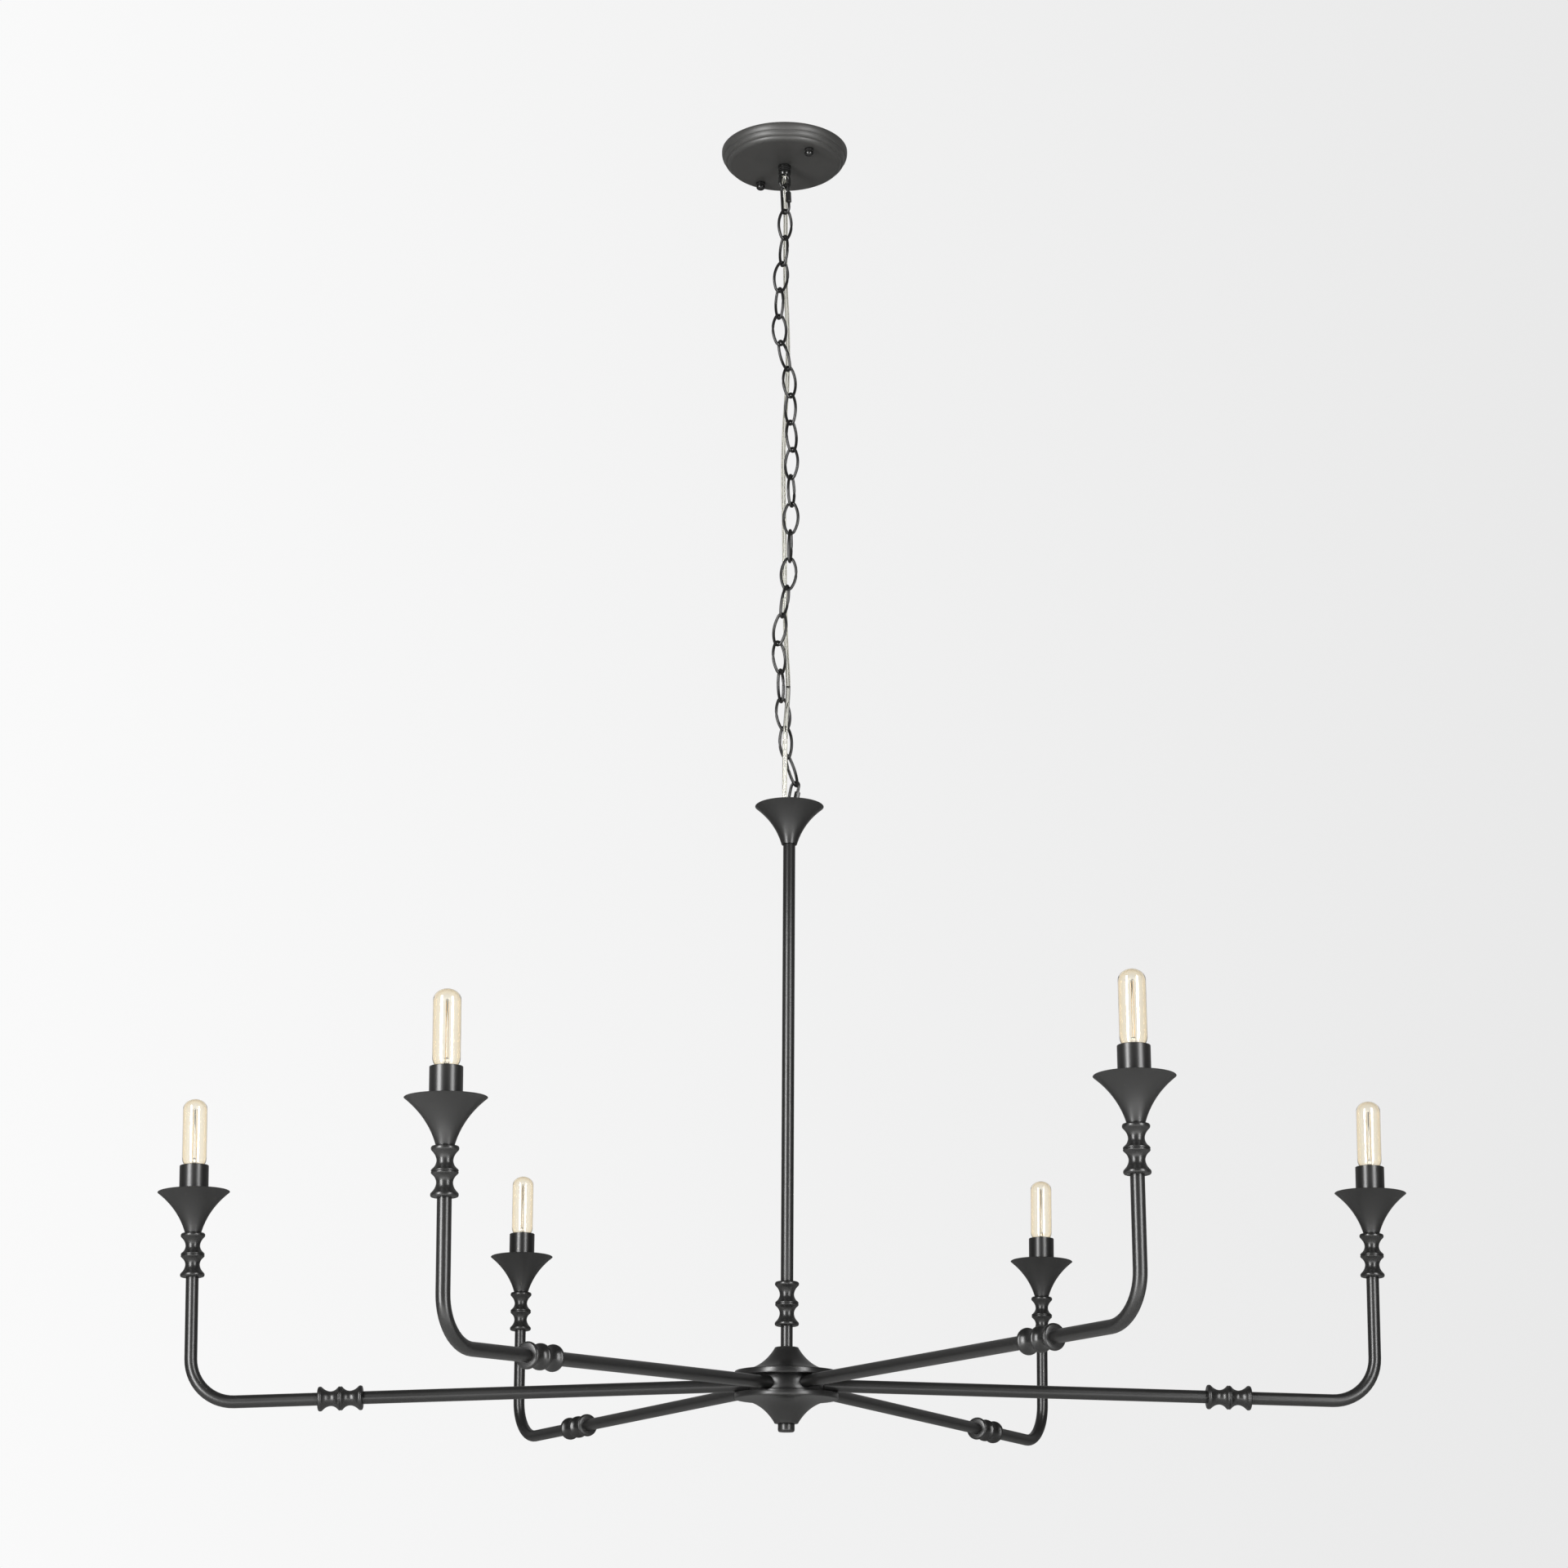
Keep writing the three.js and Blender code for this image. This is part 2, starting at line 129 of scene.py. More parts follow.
wrap.inputs["From Min"].default_value = -0.1
wrap.inputs["From Max"].default_value = 0.75
wrap.inputs["To Min"].default_value = room["front"]
wrap.inputs["To Max"].default_value = room["behind"]
glow = sky.nodes.new("ShaderNodeBackground")
glow.inputs["Color"].default_value = (1, 1, 1, 1)
skyOut = sky.nodes.new("ShaderNodeOutputWorld")
sky.links.new(around.outputs["Generated"], axes.inputs[0])
sky.links.new(axes.outputs["X"], backdropShade.inputs["Value"])
sky.links.new(axes.outputs["Y"], wrap.inputs["Value"])
sky.links.new(wrap.outputs["Result"], strength.inputs["To Min"])
sky.links.new(backdropShade.outputs["Result"], strength.inputs["To Max"])
sky.links.new(path.outputs["Is Camera Ray"], seen.inputs[0])
sky.links.new(path.outputs["Is Transmission Ray"], seen.inputs[1])
sky.links.new(seen.outputs[0], strength.inputs["Value"])
sky.links.new(strength.outputs["Result"], glow.inputs["Strength"])
sky.links.new(glow.outputs[0], skyOut.inputs[0])


# ---- finishes
def addGroup(name, takes, gives):
    group = bpy.data.node_groups.new(name, "ShaderNodeTree")
    for label, kind, value in takes:
        socket = group.interface.new_socket(name=label, in_out="INPUT", socket_type=kind)
        socket.default_value = value
    for label, kind in gives:
        group.interface.new_socket(name=label, in_out="OUTPUT", socket_type=kind)
    inside = group.nodes.new("NodeGroupInput")
    out = group.nodes.new("NodeGroupOutput")
    return group, inside.outputs, out.inputs


def addNode(tree, kind, settings=None, **values):
    node = tree.nodes.new("ShaderNode" + kind)
    for key, value in (settings or {}).items():
        setattr(node, key, value)
    for key, value in values.items():
        socket = node.inputs[key.replace("_", " ")]
        if isinstance(value, bpy.types.NodeSocket):
            tree.links.new(value, socket)
        else:
            socket.default_value = value
    return node


floatKind, colourKind, vectorKind = (
    "NodeSocketFloat", "NodeSocketColor", "NodeSocketVector",
)

# Sprayed and baked paint: fine orange peel, slow drift of tone and gloss, a few dust specks
sprayGroup, take, give = addGroup(
    "sprayedPaint",
    [
        ("Colour", colourKind, (0.02, 0.02, 0.02, 1)),
        ("Drift", floatKind, 0.2),
        ("Roughness", floatKind, 0.4),
        ("Peel Size", floatKind, 900.0),
        ("Peel Height", floatKind, 0.000008),
    ],
    [("Colour", colourKind), ("Roughness", floatKind), ("Normal", vectorKind)],
)
place = addNode(sprayGroup, "TexCoord").outputs["Object"]
slow = addNode(sprayGroup, "TexNoise", Vector=place, Scale=7.0, Detail=4.0)
peel = addNode(sprayGroup, "TexNoise", Vector=place, Scale=take["Peel Size"], Detail=2.0)
dust = addNode(sprayGroup, "TexNoise", Vector=place, Scale=340.0, Detail=1.0)
speck = addNode(
    sprayGroup, "MapRange", Value=dust.outputs["Fac"],
    From_Min=0.76, From_Max=0.84, To_Min=0.0, To_Max=0.2,
)
shift = addNode(sprayGroup, "Math", {"operation": "SUBTRACT"})
sprayGroup.links.new(slow.outputs["Fac"], shift.inputs[0])
shift.inputs[1].default_value = 0.5
amount = addNode(sprayGroup, "Math", {"operation": "MULTIPLY_ADD"})
sprayGroup.links.new(shift.outputs[0], amount.inputs[0])
sprayGroup.links.new(take["Drift"], amount.inputs[1])
amount.inputs[2].default_value = 1.0
toned = addNode(sprayGroup, "VectorMath", {"operation": "SCALE"})
sprayGroup.links.new(take["Colour"], toned.inputs[0])
sprayGroup.links.new(amount.outputs[0], toned.inputs["Scale"])
dusted = addNode(
    sprayGroup, "Mix", {"data_type": "RGBA"}, Factor=speck.outputs["Result"],
)
sprayGroup.links.new(toned.outputs[0], dusted.inputs["A"])
dusted.inputs["B"].default_value = (0.16, 0.15, 0.14, 1)
sprayGroup.links.new(dusted.outputs["Result"], give["Colour"])
gloss = addNode(sprayGroup, "Math", {"operation": "MULTIPLY_ADD"})
sprayGroup.links.new(shift.outputs[0], gloss.inputs[0])
gloss.inputs[1].default_value = 0.16
sprayGroup.links.new(take["Roughness"], gloss.inputs[2])
sprayGroup.links.new(gloss.outputs[0], give["Roughness"])
peelBump = addNode(sprayGroup, "Bump", Height=peel.outputs["Fac"], Distance=take["Peel Height"])
sprayGroup.links.new(peelBump.outputs["Normal"], give["Normal"])

# Bare metal showing through in small rubbed patches
rubGroup, take, give = addGroup(
    "rubbedThrough",
    [("Patch Size", floatKind, 160.0), ("Amount", floatKind, 0.1)],
    [("Mask", floatKind)],
)
place = addNode(rubGroup, "TexCoord").outputs["Object"]
patches = addNode(
    rubGroup, "TexNoise", Vector=place, Scale=take["Patch Size"], Detail=6.0, Roughness=0.7,
)
edge = addNode(rubGroup, "Math", {"operation": "SUBTRACT"})
edge.inputs[0].default_value = 0.82
rubGroup.links.new(take["Amount"], edge.inputs[1])
patchMask = addNode(
    rubGroup, "MapRange", Value=patches.outputs["Fac"], From_Min=edge.outputs[0],
    From_Max=0.86,
)
rubGroup.links.new(patchMask.outputs["Result"], give["Mask"])


def newFinish(name, **values):
    material = bpy.data.materials.new(name)
    material.use_nodes = True
    tree = material.node_tree
    shader = tree.nodes["Principled BSDF"]
    for key, value in values.items():
        shader.inputs[key.replace("_", " ")].default_value = value
    return material, tree, shader


def addPlaced(tree, group, **values):
    node = tree.nodes.new("ShaderNodeGroup")
    node.node_tree = group
    for key, value in values.items():
        node.inputs[key.replace("_", " ")].default_value = value
    return node


paints = {
    "satinBlack": {"Colour": (0.0095, 0.0094, 0.0092, 1), "Roughness": 0.31, "Drift": 0.25},
    # the canopy is the same black paint as the rest of the lamp; its colour is raised lighter as painted
    # light falling on the canopy
    "canopyBlack": {"Colour": (0.034, 0.0335, 0.032, 1), "Roughness": 0.42, "Drift": 0.3},
    "chainBlack": {"Colour": (0.008, 0.0079, 0.0077, 1), "Roughness": 0.3, "Drift": 0.3},
    "glossBlack": {"Colour": (0.006, 0.006, 0.0058, 1), "Roughness": 0.13, "Drift": 0.2},
    "holderBlack": {"Colour": (0.016, 0.016, 0.016, 1), "Roughness": 0.6, "Drift": 0.3},
}
rubbed = {"chainBlack": 0.13, "glossBlack": 0.09}
finishes = {}
for name, paint in paints.items():
    material, tree, shader = newFinish(name)
    spray = addPlaced(tree, sprayGroup, **paint)
    tree.links.new(spray.outputs["Roughness"], shader.inputs["Roughness"])
    tree.links.new(spray.outputs["Normal"], shader.inputs["Normal"])
    if name in rubbed:
        rub = addPlaced(tree, rubGroup, Amount=rubbed[name])
        mix = addNode(tree, "Mix", {"data_type": "RGBA"}, Factor=rub.outputs["Mask"])
        tree.links.new(spray.outputs["Colour"], mix.inputs["A"])
        mix.inputs["B"].default_value = (0.20, 0.19, 0.18, 1)
        tree.links.new(mix.outputs["Result"], shader.inputs["Base Color"])
        tree.links.new(rub.outputs["Mask"], shader.inputs["Metallic"])
    else:
        tree.links.new(spray.outputs["Colour"], shader.inputs["Base Color"])
    finishes[name] = material

metals = {
    "zincPlate": {"colour": (0.52, 0.53, 0.55, 1), "roughness": 0.34, "grain": 420},
    "nickelShell": {"colour": (0.60, 0.57, 0.52, 1), "roughness": 0.24, "grain": 300},
    "tinnedStrand": {"colour": (0.48, 0.47, 0.43, 1), "roughness": 0.28, "grain": 900},
    "supportWire": {"colour": (0.42, 0.40, 0.36, 1), "roughness": 0.3, "grain": 900},
}
for name, metal in metals.items():
    material, tree, shader = newFinish(name, Metallic=1.0)
    place = addNode(tree, "TexCoord").outputs["Object"]
    grain = addNode(tree, "TexNoise", Vector=place, Scale=metal["grain"], Detail=3.0)
    tone = addNode(tree, "Mix", {"data_type": "RGBA"}, Factor=grain.outputs["Fac"])
    tone.inputs["A"].default_value = [c * 0.72 for c in metal["colour"][:3]] + [1]
    tone.inputs["B"].default_value = metal["colour"]
    dull = addNode(
        tree, "MapRange", Value=grain.outputs["Fac"],
        To_Min=metal["roughness"] - 0.08, To_Max=metal["roughness"] + 0.12,
    )
    tree.links.new(tone.outputs["Result"], shader.inputs["Base Color"])
    tree.links.new(dull.outputs["Result"], shader.inputs["Roughness"])
    finishes[name] = material

# Amber glass: more colour where the wall is seen edge on
clearKinds = {
    "amberGlass": {"face": (1, 0.975, 0.91, 1), "edge": (0.93, 0.76, 0.47, 1), "IOR": 1.46},
    "clearGlass": {"face": (1, 0.99, 0.97, 1), "edge": (0.9, 0.87, 0.8, 1), "IOR": 1.48},
    "clearVinyl": {"face": (0.90, 0.90, 0.85, 1), "edge": (0.60, 0.60, 0.53, 1), "IOR": 1.4},
}
for name, kind in clearKinds.items():
    roughness = 0.12 if name == "clearVinyl" else 0.0
    material, tree, shader = newFinish(
        name, Transmission_Weight=1.0, IOR=kind["IOR"], Roughness=roughness,
    )
    weight = addNode(tree, "LayerWeight", Blend=0.42)
    place = addNode(tree, "TexCoord").outputs["Object"]
    streak = addNode(tree, "TexNoise", Vector=place, Scale=38.0, Detail=2.0)
    ripple = addNode(tree, "Bump", Height=streak.outputs["Fac"], Strength=0.25, Distance=0.0004)
    tone = addNode(tree, "Mix", {"data_type": "RGBA"}, Factor=weight.outputs["Facing"])
    tone.inputs["A"].default_value = kind["face"]
    tone.inputs["B"].default_value = kind["edge"]
    tree.links.new(tone.outputs["Result"], shader.inputs["Base Color"])
    tree.links.new(ripple.outputs["Normal"], shader.inputs["Normal"])
    finishes[name] = material

material, tree, shader = newFinish("coiledFilament", Roughness=0.45, Metallic=0.6)
place = addNode(tree, "TexCoord").outputs["Object"]
# lighter and darker golden bands along Z draw the coil's turns on a smooth strip: painted highlight on
# each turn, painted shade between the turns
coilHighlightAndShade = addNode(tree, "TexWave", {"bands_direction": "Z"}, Vector=place, Scale=700.0)
tone = addNode(tree, "Mix", {"data_type": "RGBA"}, Factor=coilHighlightAndShade.outputs["Fac"])
tone.inputs["A"].default_value = (0.30, 0.19, 0.08, 1)
tone.inputs["B"].default_value = (0.62, 0.44, 0.20, 1)
tree.links.new(tone.outputs["Result"], shader.inputs["Base Color"])
finishes["coiledFilament"] = material

material, tree, shader = newFinish("paleFloor", Roughness=0.9)
place = addNode(tree, "TexCoord").outputs["Object"]
cloud = addNode(tree, "TexNoise", Vector=place, Scale=0.6, Detail=2.0)
tone = addNode(tree, "Mix", {"data_type": "RGBA"}, Factor=cloud.outputs["Fac"])
tone.inputs["A"].default_value = (0.80, 0.80, 0.79, 1)
tone.inputs["B"].default_value = (0.84, 0.84, 0.83, 1)
tree.links.new(tone.outputs["Result"], shader.inputs["Base Color"])
finishes["paleFloor"] = material
print("finishes made")


# ---- tools for shaping
def curvePoints(start, pull, end, steps):
    points = []
    for i in range(steps + 1):
        t = i / steps
        points.append(tuple(
            (1 - t) ** 2 * a + 2 * t * (1 - t) * b + t * t * c
            for a, b, c in zip(start, pull, end)
        ))
    return points


# A quarter of an ellipse between two angles in degrees, from +R towards +Z
def archPoints(centre, wide, high, fromAngle, toAngle, steps):
    points = []
    for i in range(steps + 1):
        angle = math.radians(fromAngle + (toAngle - fromAngle) * i / steps)
        points.append((centre[0] + wide * math.cos(angle), centre[1] + high * math.sin(angle)))
    return points


def settleNew(mesh, vertCount, faceCount, place, layer):
    mesh.verts.ensure_lookup_table()
    mesh.faces.ensure_lookup_table()
    if place is not None:
        bmesh.ops.transform(mesh, matrix=place, verts=mesh.verts[vertCount:])
    for face in mesh.faces[faceCount:]:
        face.material_index = layer


# Turns a profile of (radius, height) about Z
def addTurned(mesh, profile, steps, closed=False, place=None, layer=0):
    counts = len(mesh.verts), len(mesh.faces)
    verts = [mesh.verts.new((radius, 0, height)) for radius, height in profile]
    edges = [mesh.edges.new(pair) for pair in zip(verts, verts[1:])]
    if closed:
        edges.append(mesh.edges.new((verts[-1], verts[0])))
    bmesh.ops.spin(
        mesh, geom=verts + edges, cent=(0, 0, 0), axis=(0, 0, 1),
        angle=2 * math.pi, steps=steps, use_merge=True,
    )
    settleNew(mesh, *counts, place, layer)


def newest(made, kind):
    return [part for part in made if isinstance(part, kind)]


# A wire that starts at a point heading up Z, then runs and bends in the XZ plane
def addWire(mesh, start, radius, sides, moves, closed=False, place=None, layer=0):
    counts = len(mesh.verts), len(mesh.faces)
    made = bmesh.ops.create_circle(
        mesh, segments=sides, radius=radius,
        matrix=Matrix.Translation(start) @ Matrix.Rotation(math.pi / sides, 4, "Z"),
    )
    ring = list({edge for vert in made["verts"] for edge in vert.link_edges})
    for kind, *how in moves:
        if kind == "run":
            made = bmesh.ops.extrude_edge_only(mesh, edges=ring)["geom"]
            verts = newest(made, bmesh.types.BMVert)
            bmesh.ops.translate(mesh, verts=verts, vec=how[0])
            fresh = set(verts)
            ring = [e for e in newest(made, bmesh.types.BMEdge) if fresh.issuperset(e.verts)]
        else:
            centre, degrees, steps = how
            verts = list({vert for edge in ring for vert in edge.verts})
            made = bmesh.ops.spin(
                mesh, geom=verts + ring, cent=centre, axis=(0, 1, 0),
                angle=math.radians(degrees), steps=steps,
            )
            ring = newest(made["geom_last"], bmesh.types.BMEdge)
    settleNew(mesh, *counts, place, layer)
    if not closed:
        mesh.verts.ensure_lookup_table()
        open_ = [e for v in mesh.verts[counts[0]:] for e in v.link_edges if e.is_boundary]
        bmesh.ops.holes_fill(mesh, edges=list(set(open_)), sides=0)
        settleNew(mesh, *counts, None, layer)


def softenEdges(mesh, width, overDegrees=34, steps=2):
    sharp = [
        edge for edge in mesh.edges
        if len(edge.link_faces) == 2 and edge.calc_face_angle() > math.radians(overDegrees)
    ]
    if sharp:
        bmesh.ops.bevel(
            mesh, geom=sharp, offset=width, segments=steps, profile=0.5,
            affect="EDGES", offset_type="OFFSET", clamp_overlap=True, material=-1,
        )


# Raises alternate ribs round a band, as knurling
def knurlBand(mesh, low, high, radius, depth):
    band = [
        face for face in mesh.faces
        if low < face.calc_center_median().z < high
        and abs(face.calc_center_median().xy.length - radius) < 0.25
    ]
    if band:
        bmesh.ops.inset_individual(mesh, faces=band, thickness=0.12, depth=depth)


def finishPiece(mesh, name, place, paint, body=None, stands=(), soften=0, smooth=38):
    bmesh.ops.remove_doubles(mesh, verts=mesh.verts, dist=0.004)
    if soften:
        softenEdges(mesh, soften)
    bmesh.ops.recalc_face_normals(mesh, faces=mesh.faces)
    bmesh.ops.transform(mesh, matrix=place, verts=mesh.verts)
    data = bpy.data.meshes.new(name)
    mesh.to_mesh(data)
    mesh.free()
    for finish in [paint] if isinstance(paint, str) else paint:
        data.materials.append(finishes[finish])
    data.polygons.foreach_set("use_smooth", [True] * len(data.polygons))
    data.set_sharp_from_angle(angle=math.radians(smooth))
    piece = bpy.data.objects.new(name, data)
    scene.collection.objects.link(piece)
    if body:
        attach(piece, body)
    if stands:
        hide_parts(*stands)
    return piece


# A frame whose Z runs up, and whose X is as near to along as it can be
def placeAt(origin, up, along):
    up = Vector(up).normalized()
    along = Vector(along)
    along = (along - up * along.dot(up)).normalized()
    turned = Matrix((along, up.cross(along), up)).transposed().to_4x4()
    return Matrix.Translation(origin) @ turned @ Matrix.Scale(mm, 4)


def middleOf(node):
    points = [vert.co for vert in nodes[node].data.vertices]
    return sum(points, Vector()) / len(points)


ceiling = Matrix.Scale(mm, 4)

# ---- the chain's frames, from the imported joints
linkNames = ["chain_link_%02d" % (i + 1) for i in range(21)]
hangingNames = ["quick_link_top", *linkNames, "quick_link_bottom"]
nextJoint = dict(zip(hangingNames, hangingNames[1:] + ["lamp"]))
hangingPlaces = {}
for name in hangingNames:
    normal = Vector(joints[name + "_swing"]["axis"])
    low = Vector(joints[nextJoint[name] + "_swing"]["pos_m"])
    if name in linkNames:
        middle = middleOf(name)
        up = middle - low
    else:
        up = Vector(joints[name + "_nut_slide"]["axis"]).normalized()
        middle = low + up * 22 * mm
    across = normal.cross(up)
    if name not in linkNames:
        across *= math.copysign(1, across.dot(middleOf(name + "_nut") - middle))
    hangingPlaces[name] = placeAt(middle, up, across)

# ---- supply cord: clear flat twin cord, one length for each joint of the chain
cordShape = {"coreGap": 1.55, "lobeRadius": 1.6, "strandRadius": 0.72, "width": 0.0063}
cordRoute = [
    (0, 0, -0.001), (0, 0, -0.02), (0, 0.0001, -0.034), (-0.0003, 0.0017, -0.04),
    (-0.0014, 0.0059, -0.046), (-0.0018, 0.011, -0.055), (0.0004, 0.0146, -0.072),
    (0.0014, 0.0156, -0.1), (0.001, 0.0158, -0.15), (0.0014, 0.0158, -0.2),
    (0.0036, 0.0158, -0.25), (0.0046, 0.0158, -0.3), (0.0036, 0.0158, -0.35),
    (0.0006, 0.0158, -0.4), (-0.0014, 0.0158, -0.45), (-0.0016, 0.0158, -0.5),
    (-0.0008, 0.0158, -0.55), (0, 0.0158, -0.6), (0.0002, 0.0158, -0.65),
    (0.001, 0.0154, -0.7), (0.0024, 0.013, -0.74), (0.0042, 0.0085, -0.775),
    (0.0046, 0, -0.8), (0.0034, -0.009, -0.825), (0.0016, -0.0135, -0.85),
    (0.0006, -0.0156, -0.88), (0.0002, -0.0158, -0.915), (0, -0.0146, -0.95),
    (0.0015, -0.0128, -0.975), (0.0048, -0.011, -0.986), (0.006, -0.0088, -0.994),
    (0.0062, -0.0048, -1), (0.0061, -0.0016, -1.005), (0.0061, -0.0003, -1.011),
]


def smoothLine(points, step):
    points = [Vector(point) for point in points]
    line = [points[0]]
    for i in range(len(points) - 1):
        a, b = points[i], points[i + 1]
        reach = (b - a).length
        leave = (b - points[i - 1] if i else b - a).normalized() * reach / 3
        arrive = (points[min(i + 2, len(points) - 1)] - a).normalized() * reach / 3
        count = max(2, math.ceil(reach / step))
        for j in range(1, count + 1):
            t = j / count
            line.append(
                a * (1 - t) ** 3 + (a + leave) * 3 * t * (1 - t) ** 2
                + (b - arrive) * 3 * t * t * (1 - t) + b * t ** 3
            )
    return line


def ringOutline(kind):
    gap, lobe, strand = (cordShape[key] for key in ("coreGap", "lobeRadius", "strandRadius"))
    if kind == "vinyl":
        right = archPoints((gap, 0), lobe, lobe, -140, 140, 10)
        return right + [(-x, -y) for x, y in right]
    side = gap if kind == "rightStrand" else -gap
    return archPoints((side, 0), strand, strand, 0, 315, 7)


def makeCordLength(name, line):
    mesh = bmesh.new()
    for layer, kind in ((0, "vinyl"), (1, "leftStrand"), (1, "rightStrand")):
        counts = len(mesh.verts), len(mesh.faces)
        verts = [mesh.verts.new((x * mm, y * mm, 0)) for x, y in ringOutline(kind)]
        bmesh.ops.translate(mesh, verts=verts, vec=line[0])
        ring = [mesh.edges.new(pair) for pair in zip(verts, verts[1:] + verts[:1])]
        for before, after in zip(line, line[1:]):
            made = bmesh.ops.extrude_edge_only(mesh, edges=ring)["geom"]
            fresh = set(newest(made, bmesh.types.BMVert))
            bmesh.ops.translate(mesh, verts=list(fresh), vec=after - before)
            ring = [e for e in newest(made, bmesh.types.BMEdge) if fresh.issuperset(e.verts)]
        settleNew(mesh, *counts, None, layer)
    bmesh.ops.recalc_face_normals(mesh, faces=mesh.faces)
    data = bpy.data.meshes.new(name)
    mesh.to_mesh(data)
    mesh.free()
    data.materials.append(finishes["clearVinyl"])
    data.materials.append(finishes["tinnedStrand"])
    data.polygons.foreach_set("use_smooth", [True] * len(data.polygons))
    piece = bpy.data.objects.new(name, data)
    scene.collection.objects.link(piece)
    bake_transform(piece)
    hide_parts("supply_cord")


wholeCord = smoothLine(cordRoute, 0.006)
stations = [hangingPlaces[name].translation for name in hangingNames]
cordBodies = ["ceiling_fixture", *hangingNames, "lamp"]
cuts = [Vector((0, 0, -0.036)), *stations, Vector(cordRoute[-3])]
rest = list(wholeCord)
for i, bodies in enumerate(zip(cordBodies, cordBodies[1:])):
    last = i == len(cordBodies) - 2
    cutZ = -2 if last else cuts[i + 1].z
    length = [rest[0]]
    while len(rest) > 1 and rest[1].z >= cutZ:
        length.append(rest.pop(1))
    if not last:
        share = (rest[0].z - cutZ) / (rest[0].z - rest[1].z) if len(length) < 2 else (
            (length[-1].z - cutZ) / (length[-1].z - rest[1].z)
        )
        cutPoint = length[-1].lerp(rest[1], share)
        if (cutPoint - length[-1]).length < 0.0008:
            length[-1] = cutPoint
        else:
            length.append(cutPoint)
        rest = [cutPoint, *rest[1:]]
    makeCordLength("supplyCord_%02d" % (i + 1), length)
print("cord made")

# ---- ceiling fixture
canopyShape = {
    "radius": 88.5, "discRadius": 73.9, "height": 22, "wall": 1.5, "holeRadius": 6.6,
    "turns": 96,
}
outer = [
    (canopyShape["holeRadius"], -22), (canopyShape["discRadius"], -22),
    *archPoints((73.9, -17.3), 6.1, 4.7, -90, 0, 8),
    *archPoints((79.6, -10.6), 5.4, 6.7, -80, 0, 8),
    *archPoints((84.6, -3), 3.9, 7.6, -80, 0, 8),
    (88.5, 0),
]
wall = canopyShape["wall"]
inner = [(radius - wall, min(height + wall, 0)) for radius, height in reversed(outer[2:])]
inner += [(canopyShape["discRadius"] - wall, -22 + wall), (canopyShape["holeRadius"], -22 + wall)]
mesh = bmesh.new()
addTurned(mesh, outer + inner, canopyShape["turns"], closed=True)
canopy = finishPiece(
    mesh, "canopyShell", ceiling, "canopyBlack", "ceiling_fixture", ["canopy"],
    soften=0.35,
)

capNut = [
    (0, -22.3), (6.2, -22.3), (6.4, -22.8), (6.4, -25.4), (5.6, -26), (5.6, -26.6),
    (6.2, -27.2), (6.2, -29.4), *archPoints((0, -29.4), 6.2, 4.0, 0, -90, 7),
]
for name in ("canopy_nut_back_left", "canopy_nut_front_right"):
    low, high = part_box(name)
    mesh = bmesh.new()
    addTurned(mesh, capNut, 32)
    knurlBand(mesh, -25.4, -22.8, 6.4, 0.16)
    at = Matrix.Translation(((low.x + high.x) / 2, (low.y + high.y) / 2, 0)) @ ceiling
    finishPiece(
        mesh, name.replace("canopy_nut", "capNut"), at, "glossBlack",
        "ceiling_fixture", [name],
    )

collar = [
    (6.5, -22.3), (8.4, -22.3), (8.9, -22.8), (8.9, -27.2), (8.2, -27.8), (8.2, -28.4),
    (8.8, -29), (8.8, -30.6), (8.3, -31), (6.5, -31),
]
mesh = bmesh.new()
addTurned(mesh, collar, 40, closed=True)
knurlBand(mesh, -27.2, -22.8, 8.9, 0.2)
finishPiece(
    mesh, "screwCollar", ceiling, "glossBlack", "ceiling_fixture", ["canopy_collar"],
)

eyeShape = {"wire": 2.2, "halfWidth": 6.9, "halfHeight": 10.4, "turn": 24, "middle": -45.5}


def eyeMoves(shape, steps=14):
    straight = shape["halfHeight"] - shape["halfWidth"]
    return [
        ("run", (0, 0, straight)),
        ("bend", (0, 0, straight), -180, steps),
        ("run", (0, 0, -2 * straight)),
        ("bend", (0, 0, -straight), -180, steps),
        ("run", (0, 0, straight)),
    ]


def addEye(mesh, shape, middle, shoulder, neck):
    place = Matrix.Translation((0, 0, middle)) @ Matrix.Rotation(
        math.radians(shape["turn"]), 4, "Z"
    )
    addWire(
        mesh, (shape["halfWidth"], 0, 0), shape["wire"], 14, eyeMoves(shape),
        closed=True, place=place,
    )
    addTurned(mesh, shoulder, 28, closed=True)
    addTurned(mesh, neck, 28, closed=True)


mesh = bmesh.new()
addEye(
    mesh, eyeShape, eyeShape["middle"],
    [(4.7, -31.3), (8.0, -31.3), (8.8, -32.1), (8.8, -35.2), (8.0, -37.4), (4.7, -37.4)],
    [(4.7, -0.5), (6.2, -0.5), (6.2, -31.6), (4.7, -31.6)],
)
finishPiece(
    mesh, "canopyLoop", ceiling, "glossBlack", "ceiling_fixture", ["canopy_eye"],
    soften=0.25,
)
nodes["crossbar"].data.materials.clear()
nodes["crossbar"].data.materials.append(finishes["zincPlate"])
print("ceiling fixture made")

